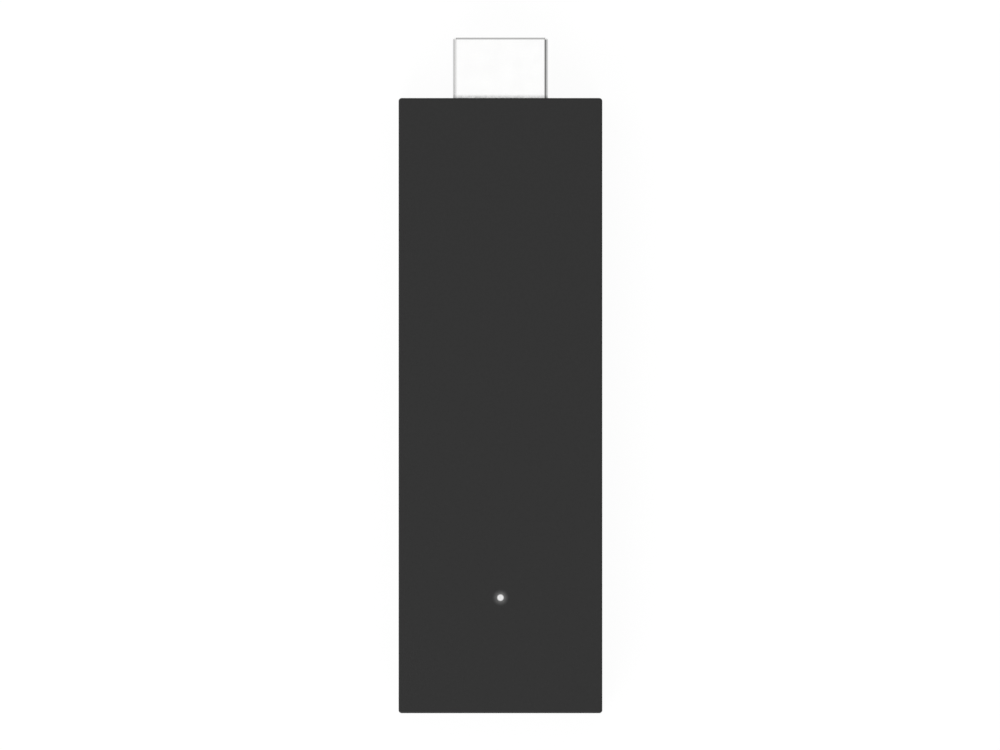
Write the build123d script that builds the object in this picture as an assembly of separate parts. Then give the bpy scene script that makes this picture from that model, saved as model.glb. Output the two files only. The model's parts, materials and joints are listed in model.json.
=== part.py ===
from build123d import *
import os

# Streaming stick: a slim moulded case with a video plug at one end and a power socket at the other.
# Millimetres. The stick lies on its back: X runs across it, Y from the power end to the tip of the video
# plug, and Z from the back face up to the front face. The origin is on the back face, under the middle of
# the overall length.

# Case
BODY_WIDTH = 29.8
BODY_LENGTH = 90.0
BODY_THICKNESS = 12.4
CORNER_RADIUS = 0.45
INNER_CORNER_CUT = 0.4
FRONT_EDGE_RADIUS = 0.3
REAR_EDGE_RADIUS = 0.4
SIDE_WALL = 1.5
FRONT_WALL = 1.9
REAR_WALL = 1.7
RIB_THICKNESS = 0.8
ROOT = 0.2

# Seam between the two covers: a narrow shadow gap with a lip behind it
SEAM_HEIGHT = 4.8
SEAM_GAP = 0.25
LIP_INSET = 0.9
LIP_HEIGHT = 0.9
LIP_CLEARANCE = 0.1

# Video plug: a 19-contact D-shaped plug, wide side towards the front face
PLUG_REACH = 8.9
PLUG_WIDTH = 13.9
PLUG_HEIGHT = 4.45
PLUG_BASE_WIDTH = 10.1
PLUG_SHOULDER = -0.1
PLUG_CORNER_RADIUS = 0.6
PLUG_SHEET = 0.3
PLUG_LENGTH = 14.45
PLUG_MOUTH_BEVEL = 0.2
PLUG_MOUTH_LEAD = 0.27
PLUG_CLEARANCE = 0.15
SEAM_SLIT = 0.08
KEY_BACK = 4.2
KEY_HALF_LENGTH = 0.9
KEY_WIDTH = 1.2
KEY_FLARE = 0.3
LATCH_HOLE_BACK = 5.2
LATCH_HOLE_X = 3.5
LATCH_HOLE_WIDTH = 1.6
LATCH_HOLE_LENGTH = 1.2
MOUTH_WIDTH = 11.0
MOUTH_HEIGHT = 1.9
MOUTH_RISE = 0.15
MOUTH_DEPTH = 8.0
INSULATOR_PLAY = 0.03
INSULATOR_RECESS = 0.35
FRONT_CONTACT_COUNT = 10
REAR_CONTACT_COUNT = 9
CONTACT_PITCH = 1.0
CONTACT_WIDTH = 0.46
CONTACT_THICKNESS = 0.2
CONTACT_REST = 0.2
CONTACT_BOW = 0.32
CONTACT_TIP_BACK = 1.1
CONTACT_CROWN_BACK = 2.1
CONTACT_CROWN = 0.8
CONTACT_RUN_BACK = 6.4
CONTACT_TAIL = 1.5
GROOVE_WIDTH = 0.56
GROOVE_DEPTH = 0.38
GROOVE_RIM = 0.5

# Circuit board, with the same clear height above and below it
BOARD_THICKNESS = 1.0
BOARD_WIDTH = 24.4
BOARD_CORNER_CUT = 0.6
BOARD_END_PLAY = 0.65
NOTCH_PLAY = 0.3
LEG_SLOT_LENGTH = 1.4
LEG_SLOT_WIDTH = 0.7
LEG_PROTRUSION = 0.3

# Places worked out from the case
TIP_Y = (BODY_LENGTH + PLUG_REACH) / 2
TAIL_Y = -TIP_Y
NOSE_Y = TIP_Y - PLUG_REACH
BODY_MID_Y = (NOSE_Y + TAIL_Y) / 2
SIDE_X = BODY_WIDTH / 2
INNER_X = SIDE_X - SIDE_WALL
FRONT_INNER_Z = BODY_THICKNESS - FRONT_WALL
BOARD_BOTTOM = (REAR_WALL + FRONT_INNER_Z - BOARD_THICKNESS) / 2
BOARD_TOP = BOARD_BOTTOM + BOARD_THICKNESS
BOARD_MID = (BOARD_BOTTOM + BOARD_TOP) / 2
BOARD_X = BOARD_WIDTH / 2
PLUG_X = PLUG_WIDTH / 2
PLUG_REAR_Y = TIP_Y - PLUG_LENGTH
PLUG_FOOT_Z = BOARD_MID - PLUG_HEIGHT / 2
MOUTH_FLOOR = BOARD_MID + MOUTH_RISE - MOUTH_HEIGHT / 2
MOUTH_CEILING = MOUTH_FLOOR + MOUTH_HEIGHT
INSULATOR_FRONT_Y = TIP_Y - INSULATOR_RECESS
INSULATOR_REAR_Y = PLUG_REAR_Y + 0.4
BOARD_NOSE_Y = PLUG_REAR_Y - 0.4

# Plug arms: their feet and pegs on the board
ARM_LENGTH = 3.8
ARM_HEIGHT = 1.0
FOOT_LENGTH = 2.6
PEG_OFFSET = 0.6
PEG_LENGTH = 1.0
PEG_X = PLUG_X + PEG_OFFSET
ARM_REAR_Y = PLUG_REAR_Y - ARM_LENGTH
PEG_Y = ARM_REAR_Y + FOOT_LENGTH / 2

# Power socket: 24 contacts, set into a notch in the board's tail edge
SOCKET_WIDTH = 8.94
SOCKET_HEIGHT = 3.16
SOCKET_SHEET = 0.3
SOCKET_LENGTH = 7.3
SOCKET_RECESS = 0.2
SOCKET_CLEARANCE = 0.15
SOCKET_FUNNEL = 0.35
SOCKET_BASE_LENGTH = 1.3
TONGUE_WIDTH = 6.69
TONGUE_THICKNESS = 0.7
TONGUE_LENGTH = 4.45
TONGUE_CORNER_CUT = 0.15
SOCKET_CONTACT_COUNT = 12
SOCKET_CONTACT_PITCH = 0.5
SOCKET_CONTACT_WIDTH = 0.25
SOCKET_CONTACT_THICKNESS = 0.12
SOCKET_CONTACT_BACK = 0.9
SOCKET_CONTACT_BEND = 0.25
SOCKET_CONTACT_TAIL = 1.0
SOCKET_SLIT_WIDTH = 6.2
SOCKET_MOUTH_Y = TAIL_Y + SOCKET_RECESS
SOCKET_REAR_Y = SOCKET_MOUTH_Y + SOCKET_LENGTH
SOCKET_BASE_Y = SOCKET_REAR_Y - SOCKET_BASE_LENGTH
SOCKET_LEG_X = 6.1
SOCKET_LEG_YS = (SOCKET_MOUTH_Y + 3.2, SOCKET_REAR_Y - 0.9)
SOCKET_LEG_LENGTH = 0.9
SOCKET_WING_LENGTH = 1.1

# Snap hooks: arms on the rear cover, with pockets in the front cover's side walls
HOOK_YS = (20.0, -6.0, -36.0)
HOOK_LENGTH = 5.0
HOOK_THICKNESS = 0.75
HOOK_GAP = 0.25
HOOK_TOP = 9.2
BARB_BOTTOM = 8.1
BARB_REACH = 0.65
BARB_LAND = 0.25
POCKET_DEPTH = 0.55
POCKET_PLAY = 0.12

# Vents: slots with their corners cut
VENT_CORNER_CUT = 0.3
SIDE_VENT_COUNT = 7
SIDE_VENT_PITCH = 2.4
SIDE_VENT_WIDTH = 1.0
SIDE_VENT_HEIGHT = 3.0
SIDE_VENT_MID_Y = 7.0
SIDE_VENT_MID_Z = 8.5
BACK_VENT_ROWS = 6
BACK_VENT_PITCH = 2.8
BACK_VENT_LENGTH = 8.0
BACK_VENT_WIDTH = 1.1
BACK_VENT_X = 5.2
BACK_VENT_MID_Y = 4.5

# Ribs under the front wall
FRONT_RIB_HEIGHT = 0.6
FRONT_RIB_YS = (35.2, 31.2, -22.0, -27.4, -38.6)
FENCE_HEIGHT = 1.2
FENCE_WALL = 0.7
FENCE_PLAY = 0.15

# Screws through the board into bosses on the rear cover
SCREW_X = 9.6
SCREW_Y = 28.2
SCREW_RADIUS = 0.8
SCREW_LENGTH = 4.2
SCREW_POINT = 0.9
SCREW_HEAD_RADIUS = 1.5
SCREW_HEAD_HEIGHT = 0.85
RECESS_SPAN = 1.6
RECESS_WIDTH = 0.4
RECESS_DEPTH = 0.6
BOSS_RADIUS = 2.0
BOSS_WEB_DROP = 1.2
PILOT_PLAY = 0.01
PILOT_DEPTH_PLAY = 0.2
BOARD_HOLE_RADIUS = 0.95

# Posts that grip the corners of the board between the covers
POST_SIDE = 2.2
POST_PLACES = ((10.4, 36.6), (9.4, -45.4))

# Processor, shields and cooling, stacked on the board
CHIP_BEVEL = 0.15
PROCESSOR_Y = 12.5
CARRIER_SIDE = 14.0
CARRIER_HEIGHT = 0.6
PROCESSOR_LID_SIDE = 12.2
PROCESSOR_HEIGHT = 1.2
SHIELD_MID_Y = 5.5
SHIELD_WIDTH = 20.6
SHIELD_LENGTH = 38.0
REAR_SHIELD_WIDTH = 20.0
REAR_SHIELD_LENGTH = 30.0
SHIELD_SHEET = 0.2
SHIELD_FENCE_HEIGHT = 1.45
SHIELD_FLANGE = 1.1
LID_UNDERSIDE = 1.6
LID_SKIRT_GAP = 0.4
LID_GROWTH = 0.25
LID_PLAY = 0.05
LID_CORNER_CUT = 0.2
LID_BEVEL = 0.1
LID_SLOT_PITCH = 4.2
LID_SLOT_LENGTH = 1.8
LID_SLOT_WIDTH = 0.7
LID_SLOT_INSET = 1.9
LID_TOP = BOARD_TOP + LID_UNDERSIDE + SHIELD_SHEET
REAR_LID_BOTTOM = BOARD_BOTTOM - LID_UNDERSIDE - SHIELD_SHEET
PAD_THICKNESS = 0.6
HEAT_SINK_WIDTH = 20.8
HEAT_SINK_LENGTH = 40.0
HEAT_SINK_BASE = 0.8
HEAT_SINK_CORNER_CUT = 0.8
HEAT_SINK_BOTTOM = LID_TOP + PAD_THICKNESS
FIN_COUNT = 9
FIN_PITCH = 2.3
FIN_THICKNESS = 0.8
FIN_HEIGHT = 0.5
SPREADER_WIDTH = 20.8
SPREADER_LENGTH = 34.0
SPREADER_MID_Y = 4.5
SPREADER_BOTTOM = 2.3
SPREADER_THICKNESS = 0.8
SPREADER_CORNER_CUT = 1.0

# Radio: a module on the rear of the board and an aerial at each edge near the tail
RADIO_Y = -27.0
RADIO_SIDE = 12.0
RADIO_LID_SIDE = 11.2
RADIO_LID_HEIGHT = 1.1
RADIO_LID_CORNER_CUT = 0.6
AERIAL_X = 11.6
AERIAL_SHEET = 0.25
AERIAL_LOW_Y = -43.0
AERIAL_HIGH_Y = -34.8
AERIAL_HEIGHT = 2.9
AERIAL_CLEARANCE = 1.4
AERIAL_ROOF = 2.6
AERIAL_LEG = 0.9
AERIAL_LEG_PITCH = 1.8

# Other packages on the board: width, length and height, with their places beside them
MEMORY_SIZE = (7.5, 13.3, 0.95)
MEMORY_X = 4.6
MEMORY_Y = -4.6
FLASH_SIZE = (11.5, 13.0, 1.0)
FLASH_Y = 11.5
POWER_CHIP_SIZE = (5.0, 5.0, 0.85)
POWER_CHIP_PLACE = (-5.6, -23.6)
SURGE_SIZE = (2.5, 1.0, 0.5)
SURGE_COUNT = 4
SURGE_PITCH = 3.3
SURGE_Y = 27.4
SURGE_BEVEL = 0.08
INDUCTOR_SIZE = (3.0, 3.0, 1.5)
INDUCTOR_CORNER_CUT = 0.5
INDUCTOR_BEVEL = 0.2
INDUCTOR_PLACES = ((0.2, -21.4), (0.2, -25.8), (4.4, -21.4))
CRYSTAL_CORNER_CUT = 0.35
FRONT_CRYSTAL_SIZE = (3.2, 2.5, 0.8)
FRONT_CRYSTAL_PLACE = (5.2, -25.4)
REAR_CRYSTAL_SIZE = (2.5, 2.0, 0.8)
REAR_CRYSTAL_PLACE = (8.2, -23.0)
PROCESSOR_PAD_SIDE = 12.0
HEAT_SINK_PAD_SIZE = (14.0, 26.0)
HEAT_SINK_PAD_Y = 8.5
REAR_PAD_SIZE = (13.0, 15.0)

# Smallest parts: length, width and height, then the rows that they stand in. A row across the board is
# (count, pitch, y), with its parts turned along the board or not
CAPACITOR_SIZE = (1.6, 0.8, 0.8)
RESISTOR_SIZE = (1.0, 0.5, 0.35)
PLUG_CAPACITORS = (6, 1.7, 30.4)
REAR_PLUG_CAPACITORS = (5, 2.4, 26.0)
RADIO_CAPACITORS = (6, 2.4, -36.4)
POWER_CAPACITOR_X = -10.6
POWER_CAPACITORS = (4, 1.6, -23.0)
COIL_CAPACITOR_XS = (-8.4, -6.0, 5.2, 7.6)
COIL_CAPACITOR_Y = -29.2
SOCKET_RESISTORS = (8, 1.1, -38.2)
REAR_PLUG_RESISTORS = (9, 1.0, 31.4)
POWER_RESISTOR_X = -8.0
POWER_RESISTORS = (2, 1.0, -19.6)

# Status light
LIGHT_Y = TAIL_Y + 16.9
LED_SIZE = (1.1, 0.8, 0.6)
LED_BASE_SIZE = (1.6, 0.8, 0.25)
LIGHT_TIP_RADIUS = 0.48
LIGHT_HOLE_RADIUS = 0.5
LIGHT_SHOULDER_RADIUS = 1.3
LIGHT_SHOULDER_DROP = 0.5
LIGHT_FLANGE_RADIUS = 2.0
LIGHT_FLANGE_THICKNESS = 0.8
LIGHT_PLAY = 0.05
LIGHT_GAP = 0.15
COLLAR_WALL = 0.6
COLLAR_HEIGHT = 1.0
SHROUD_WALL = 1.0
SHROUD_PLAY = 0.1
PIPE_BOTTOM = BOARD_TOP + LED_SIZE[2] + LIGHT_GAP

# Pairing button in the right side wall, and its switch on the board's edge
BUTTON_Y = -24.5
BUTTON_Z = BOARD_TOP + 1.05
BUTTON_LENGTH = 4.4
BUTTON_HEIGHT = 1.9
BUTTON_PLAY = 0.12
BUTTON_RECESS = 0.15
BUTTON_EDGE_BEVEL = 0.2
FLANGE_THICKNESS = 0.55
FLANGE_GROWTH = 0.65
FLANGE_GAP = 0.08
NUB_RADIUS = 0.7
DISH_RADIUS = 3.3
DISH_DEPTH = 0.5
SWITCH_FACE_X = 12.0
SWITCH_DEPTH = 3.1
SWITCH_LENGTH = 4.6
SWITCH_HEIGHT = 2.1
SWITCH_LIP = 0.3
SWITCH_CAVITY_DEPTH = 2.0
SWITCH_CAVITY_SIZE = (3.2, 1.5)
SWITCH_WINDOW_SIZE = (1.7, 1.1)
SWITCH_CORNER_CUT = 0.15
PLUNGER_REACH = 0.5
PLUNGER_SIZE = (1.5, 0.9)
PLUNGER_FOOT_SIZE = (2.3, 1.3)
FOOT_THICKNESS = 0.35
DOME_SHEET = 0.1
DOME_HALF_SPAN = 1.5
DOME_WIDTH = 1.4
DOME_GAP = 0.05
BRACKET_SHEET = 0.2
BRACKET_SPAN = (2.4, 0.5)
BRACKET_GAP = 0.02
BRACKET_FOOT = 0.7
CAP_FACE_X = SIDE_X - BUTTON_RECESS
BUTTON_FLANGE_X = INNER_X - FLANGE_GAP - FLANGE_THICKNESS
PLUNGER_TIP_X = SWITCH_FACE_X + PLUNGER_REACH
CAVITY_X = SWITCH_FACE_X - SWITCH_CAVITY_DEPTH
PLUNGER_FOOT_X = SWITCH_FACE_X - SWITCH_LIP - 0.06


# Helpers


def prism_x(face, low, high):
    """Outline drawn in Y and Z, filled from x = low to x = high."""
    return extrude(Plane.YZ.offset(low) * face, high - low)


def prism_y(face, low, high):
    """Outline drawn in X and Z, filled from y = low to y = high."""
    return extrude(Plane.XZ.offset(-high) * face, high - low)


def prism_z(face, low, high):
    """Outline drawn in X and Y, filled from z = low to z = high."""
    return extrude(Plane.XY.offset(low) * face, high - low)


def brick(xs, ys, zs):
    """Plain block between two places along each axis, given in either order."""
    spans = [sorted(pair) for pair in (xs, ys, zs)]
    centre = [(low + high) / 2 for low, high in spans]
    return Pos(*centre) * Box(*[high - low for low, high in spans])


def column(radius, x, y, z_low, z_high):
    """Round post standing along Z."""
    return prism_z(Pos(x, y) * Circle(radius), z_low, z_high)


def cut_rectangle(width, length, cut):
    """Rectangle with its corners cut off at 45 degrees."""
    return chamfer(Rectangle(width, length).vertices(), cut)


def both_sides(make):
    """What make builds on the right, at x > 0, and on the left."""
    return make(1) + make(-1)


def spaced(count, pitch, middle=0.0):
    """Evenly spaced places about a middle."""
    return [middle + (i - (count - 1) / 2) * pitch for i in range(count)]


def group(parts):
    """Separate solids that share one node."""
    return Compound([part.solid() for part in parts])


def to_rear(part):
    """The same part on the other side of the board."""
    return mirror(part, about=Plane.XY.offset(BOARD_MID))


# Case


def case_block(inset, z_low, z_high):
    """Upright block with the case's outline, moved in by inset and then with its corners cut."""
    if inset:
        outline = cut_rectangle(BODY_WIDTH - 2 * inset, BODY_LENGTH - 2 * inset, INNER_CORNER_CUT)
    else:
        outline = RectangleRounded(BODY_WIDTH, BODY_LENGTH, CORNER_RADIUS)
    return prism_z(Pos(0, BODY_MID_Y) * outline, z_low, z_high)


def plug_outline(inset):
    """Section of the video plug, moved in by inset."""
    top, base = PLUG_HEIGHT / 2, PLUG_BASE_WIDTH / 2
    right = [(PLUG_X, top), (PLUG_X, PLUG_SHOULDER), (base, -top)]
    left = [(-x, z) for x, z in reversed(right)]
    face = make_face(Polyline(*right, *left, close=True))
    face = fillet(face.vertices(), PLUG_CORNER_RADIUS)
    return Pos(0, BOARD_MID) * (offset(face, -inset) if inset else face)


def socket_outline(growth):
    """Section of the power socket, grown by growth."""
    return Pos(0, BOARD_MID) * SlotOverall(SOCKET_WIDTH + 2 * growth, SOCKET_HEIGHT + 2 * growth)


def end_openings():
    """The plug's hole in the nose wall and the socket's flared hole in the tail wall."""
    plug = prism_y(plug_outline(-PLUG_CLEARANCE), NOSE_Y - SIDE_WALL - 1, NOSE_Y + 1)
    socket = prism_y(socket_outline(SOCKET_CLEARANCE), TAIL_Y - 1, TAIL_Y + SIDE_WALL + 1)
    mouth = Plane.XZ.offset(-TAIL_Y) * socket_outline(SOCKET_CLEARANCE + SOCKET_FUNNEL)
    throat = Plane.XZ.offset(-TAIL_Y - SOCKET_FUNNEL) * socket_outline(SOCKET_CLEARANCE)
    return plug + socket + loft([mouth, throat])


def finger_dish():
    """Ball that hollows the side wall round the button, across the seam."""
    ball_radius = (DISH_RADIUS**2 + DISH_DEPTH**2) / (2 * DISH_DEPTH)
    return Pos(SIDE_X - DISH_DEPTH + ball_radius, BUTTON_Y, BUTTON_Z) * Sphere(ball_radius)


def front_cover():
    """Deep upper shell: the plain front face, the side walls and what hangs from them inside."""
    cover = case_block(0, SEAM_HEIGHT + SEAM_GAP, BODY_THICKNESS)
    cover = fillet(cover.edges().group_by(Axis.Z)[-1], FRONT_EDGE_RADIUS)
    cover -= case_block(SIDE_WALL, SEAM_HEIGHT, FRONT_INNER_Z)
    cover -= case_block(LIP_INSET - LIP_CLEARANCE, SEAM_HEIGHT, SEAM_HEIGHT + LIP_HEIGHT + LIP_CLEARANCE)
    cover += front_ribs() + heat_sink_fence() + front_posts() + light_collar()
    cover -= both_sides(side_vents) + both_sides(hook_pockets)
    cover -= end_openings() + button_hole() + finger_dish()
    return cover - light_hole()


def front_ribs():
    """Cross ribs under the front wall."""
    xs = (-INNER_X - ROOT, INNER_X + ROOT)
    zs = (FRONT_INNER_Z - FRONT_RIB_HEIGHT, FRONT_INNER_Z + ROOT)
    return Part() + [brick(xs, (y, y + RIB_THICKNESS), zs) for y in FRONT_RIB_YS]


def heat_sink_fence():
    """Low wall that keeps the heat sink in place."""
    inner_width, inner_length = HEAT_SINK_WIDTH + 2 * FENCE_PLAY, HEAT_SINK_LENGTH + 2 * FENCE_PLAY
    inner = Rectangle(inner_width, inner_length)
    outer = Rectangle(inner_width + 2 * FENCE_WALL, inner_length + 2 * FENCE_WALL)
    return prism_z(Pos(0, SHIELD_MID_Y) * (outer - inner), FRONT_INNER_Z - FENCE_HEIGHT, FRONT_INNER_Z + ROOT)


def front_posts():
    """Posts that press on the board's corners."""
    return both_sides(lambda side: corner_posts(side, BOARD_TOP, FRONT_INNER_Z + ROOT))


def corner_posts(side, z_low, z_high):
    """Square posts at the board's corners on one side."""
    half = POST_SIDE / 2
    made = Part()
    for x, y in POST_PLACES:
        made += brick((side * x - half, side * x + half), (y - half, y + half), (z_low, z_high))
    return made


def light_collar():
    """Square collar under the front wall that the light pipe's flange pushes into."""
    low, radius = FRONT_INNER_Z - COLLAR_HEIGHT, LIGHT_FLANGE_RADIUS + LIGHT_PLAY
    side = 2 * (radius + COLLAR_WALL)
    collar = prism_z(Pos(0, LIGHT_Y) * Rectangle(side, side), low, FRONT_INNER_Z + ROOT)
    return collar - column(radius, 0, LIGHT_Y, low - 1, FRONT_INNER_Z)


def light_hole():
    """Stepped hole through the front wall: thin at the face, wide for the pipe's shoulder."""
    hole = column(LIGHT_HOLE_RADIUS, 0, LIGHT_Y, FRONT_INNER_Z - 1, BODY_THICKNESS + 1)
    shoulder_top = BODY_THICKNESS - LIGHT_SHOULDER_DROP + LIGHT_PLAY
    return hole + column(LIGHT_SHOULDER_RADIUS + LIGHT_PLAY, 0, LIGHT_Y, FRONT_INNER_Z - 1, shoulder_top)


def side_vents(side):
    """Upright slots through one side wall."""
    slot = cut_rectangle(SIDE_VENT_WIDTH, SIDE_VENT_HEIGHT, VENT_CORNER_CUT)
    ys = spaced(SIDE_VENT_COUNT, SIDE_VENT_PITCH, SIDE_VENT_MID_Y)
    faces = Sketch() + [Pos(y, SIDE_VENT_MID_Z) * slot for y in ys]
    low, high = sorted((side * (INNER_X - 0.5), side * (SIDE_X + 0.5)))
    return prism_x(faces, low, high)


def hook_pockets(side):
    """Shallow pockets that the barbs snap into."""
    xs = (side * (INNER_X - 0.5), side * (INNER_X + POCKET_DEPTH))
    half = HOOK_LENGTH / 2 + POCKET_PLAY
    zs = (BARB_BOTTOM - POCKET_PLAY, HOOK_TOP + POCKET_PLAY)
    return Part() + [brick(xs, (y - half, y + half), zs) for y in HOOK_YS]


def button_hole():
    """Rounded slot in the right wall that guides the button."""
    outline = SlotOverall(BUTTON_LENGTH + 2 * BUTTON_PLAY, BUTTON_HEIGHT + 2 * BUTTON_PLAY)
    return prism_x(Pos(BUTTON_Y, BUTTON_Z) * outline, INNER_X - 0.5, SIDE_X + 0.5)


def rear_cover():
    """Shallow tray with the lip, the hooks, the screw bosses and the vents in the back."""
    cover = case_block(0, 0, SEAM_HEIGHT)
    cover = fillet(cover.edges().group_by(Axis.Z)[0], REAR_EDGE_RADIUS)
    cover += case_block(LIP_INSET, REAR_WALL, SEAM_HEIGHT + LIP_HEIGHT)
    cover -= case_block(SIDE_WALL, REAR_WALL, SEAM_HEIGHT + LIP_HEIGHT + 1)
    cover += both_sides(hooks) + both_sides(boss_and_posts) + spreader_rails()
    cover -= back_vents() + end_openings() + finger_dish()
    return cover - both_sides(pilot_hole)


def hooks(side):
    """Snap arms along one side, each with a barb that points outwards."""
    outer = INNER_X - HOOK_GAP
    inner = outer - HOOK_THICKNESS
    profile = [
        (inner, REAR_WALL - ROOT),
        (outer, REAR_WALL - ROOT),
        (outer, BARB_BOTTOM),
        (outer + BARB_REACH, BARB_BOTTOM),
        (outer + BARB_REACH, BARB_BOTTOM + BARB_LAND),
        (outer - 0.1, HOOK_TOP),
        (inner, HOOK_TOP),
    ]
    face = make_face(Polyline(*[(side * x, z) for x, z in profile], close=True))
    return Part() + [prism_y(face, y - HOOK_LENGTH / 2, y + HOOK_LENGTH / 2) for y in HOOK_YS]


def boss_and_posts(side):
    """Screw boss with a web to the side wall, and plain posts under the board's corners."""
    web_ys = (SCREW_Y - RIB_THICKNESS / 2, SCREW_Y + RIB_THICKNESS / 2)
    web_zs = (REAR_WALL - ROOT, BOARD_BOTTOM - BOSS_WEB_DROP)
    web = brick((side * SCREW_X, side * (INNER_X + ROOT)), web_ys, web_zs)
    boss = column(BOSS_RADIUS, side * SCREW_X, SCREW_Y, REAR_WALL - ROOT, BOARD_BOTTOM)
    return boss + web + corner_posts(side, REAR_WALL - ROOT, BOARD_BOTTOM)


def pilot_hole(side):
    """Blind hole for the screw."""
    low = BOARD_TOP - SCREW_LENGTH - PILOT_DEPTH_PLAY
    return column(SCREW_RADIUS + PILOT_PLAY, side * SCREW_X, SCREW_Y, low, BOARD_TOP)


def spreader_rails():
    """Low rails on the floor, between and beside the vents, that carry the rear heat spreader."""
    vent_edge = BACK_VENT_X + BACK_VENT_LENGTH / 2
    ys = (SPREADER_MID_Y - SPREADER_LENGTH / 2 + 1, SPREADER_MID_Y + SPREADER_LENGTH / 2 - 1)
    zs = (REAR_WALL - ROOT, SPREADER_BOTTOM)
    rails = brick((-0.6, 0.6), ys, zs)
    for side in (-1, 1):
        rails += brick((side * (vent_edge + 0.3), side * (vent_edge + 0.9)), ys, zs)
    return rails


def back_vents():
    """Two columns of slots through the back."""
    slot = cut_rectangle(BACK_VENT_LENGTH, BACK_VENT_WIDTH, VENT_CORNER_CUT)
    ys = spaced(BACK_VENT_ROWS, BACK_VENT_PITCH, BACK_VENT_MID_Y)
    faces = Sketch() + [Pos(x, y) * slot for x in (-BACK_VENT_X, BACK_VENT_X) for y in ys]
    return prism_z(faces, -0.5, REAR_WALL + 0.5)


# Video plug


def video_plug_shell():
    """Rolled steel sheath with a keyed butt seam and two latch holes on its narrow side."""
    sheath = prism_y(plug_outline(0), PLUG_REAR_Y, TIP_Y)
    mouth = sheath.faces().sort_by(Axis.Y)[-1]
    sheath = chamfer(mouth.edges(), PLUG_MOUTH_BEVEL, PLUG_MOUTH_LEAD, reference=mouth)
    sheath -= prism_y(plug_outline(PLUG_SHEET), PLUG_REAR_Y - 1, TIP_Y + 1)
    zs = (PLUG_FOOT_Z - 0.5, PLUG_FOOT_Z + PLUG_SHEET + 0.1)
    hole_y = TIP_Y - LATCH_HOLE_BACK
    hole = Rectangle(LATCH_HOLE_WIDTH, LATCH_HOLE_LENGTH)
    holes = Sketch() + [Pos(side * LATCH_HOLE_X, hole_y) * hole for side in (-1, 1)]
    sheath -= prism_z(holes, *zs) + prism_z(butt_seam(), *zs)
    return sheath + both_sides(plug_arm)


def butt_seam():
    """Slit along the sheath, with one dovetail key."""
    key_y = TIP_Y - KEY_BACK
    path = Polyline(
        (0, TIP_Y + 1),
        (0, key_y + KEY_HALF_LENGTH),
        (KEY_WIDTH, key_y + KEY_HALF_LENGTH + KEY_FLARE),
        (KEY_WIDTH, key_y - KEY_HALF_LENGTH - KEY_FLARE),
        (0, key_y - KEY_HALF_LENGTH),
        (0, PLUG_REAR_Y - 1),
    )
    return trace(path, SEAM_SLIT)


def plug_arm(side):
    """Arm behind the sheath with a foot on the board and a peg through it."""
    inner = side * (PLUG_X - PLUG_SHEET)
    arm = brick((inner, side * PLUG_X), (ARM_REAR_Y, PLUG_REAR_Y + 0.3), (BOARD_TOP, BOARD_TOP + ARM_HEIGHT))
    foot_ys = (ARM_REAR_Y, ARM_REAR_Y + FOOT_LENGTH)
    foot = brick((inner, side * (PEG_X + 0.5)), foot_ys, (BOARD_TOP, BOARD_TOP + PLUG_SHEET))
    peg_xs = (side * (PEG_X - PLUG_SHEET / 2), side * (PEG_X + PLUG_SHEET / 2))
    peg_ys = (PEG_Y - PEG_LENGTH / 2, PEG_Y + PEG_LENGTH / 2)
    return arm + foot + brick(peg_xs, peg_ys, (BOARD_BOTTOM - LEG_PROTRUSION, BOARD_TOP + 0.1))


def video_plug_insulator():
    """Moulded core with the mouth for the mating tongue and a groove for each contact."""
    core = prism_y(plug_outline(PLUG_SHEET + INSULATOR_PLAY), INSULATOR_REAR_Y, INSULATOR_FRONT_Y)
    mouth = Pos(0, (MOUTH_FLOOR + MOUTH_CEILING) / 2) * Rectangle(MOUTH_WIDTH, MOUTH_HEIGHT)
    core -= prism_y(mouth, INSULATOR_FRONT_Y - MOUTH_DEPTH, INSULATOR_FRONT_Y + 1)
    high = [groove(x, MOUTH_CEILING, 1) for x in spaced(FRONT_CONTACT_COUNT, CONTACT_PITCH)]
    low = [groove(x, MOUTH_FLOOR, -1) for x in spaced(REAR_CONTACT_COUNT, CONTACT_PITCH)]
    return core - (Part() + high + low)


def groove(x, level, side):
    """Channel for one contact, open to the rear and closed just behind the mouth's rim."""
    xs = (x - GROOVE_WIDTH / 2, x + GROOVE_WIDTH / 2)
    ys = (INSULATOR_REAR_Y - 1, INSULATOR_FRONT_Y - GROOVE_RIM)
    return brick(xs, ys, (level - side * CONTACT_REST, level + side * GROOVE_DEPTH))


def plug_contact(x, level, side):
    """Spring strip: a bowed tip in the mouth, a straight run through the core and a tail on the board."""
    rest = level + side * CONTACT_REST
    tail = BOARD_MID + side * (BOARD_THICKNESS + CONTACT_THICKNESS) / 2
    points = [
        (TIP_Y - CONTACT_TIP_BACK, rest),
        (TIP_Y - CONTACT_CROWN_BACK, level - side * CONTACT_BOW),
        (TIP_Y - CONTACT_CROWN_BACK - CONTACT_CROWN, level - side * CONTACT_BOW),
        (TIP_Y - CONTACT_RUN_BACK, rest),
        (PLUG_REAR_Y, rest),
        (BOARD_NOSE_Y, tail),
        (BOARD_NOSE_Y - CONTACT_TAIL, tail),
    ]
    strip = trace(Polyline(*points), CONTACT_THICKNESS)
    return prism_x(strip, x - CONTACT_WIDTH / 2, x + CONTACT_WIDTH / 2)


def video_plug_front_contacts():
    """Ten strips on the wide side."""
    return group([plug_contact(x, MOUTH_CEILING, 1) for x in spaced(FRONT_CONTACT_COUNT, CONTACT_PITCH)])


def video_plug_rear_contacts():
    """Nine strips on the narrow side, set half a pitch over."""
    return group([plug_contact(x, MOUTH_FLOOR, -1) for x in spaced(REAR_CONTACT_COUNT, CONTACT_PITCH)])


# Power socket


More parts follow.
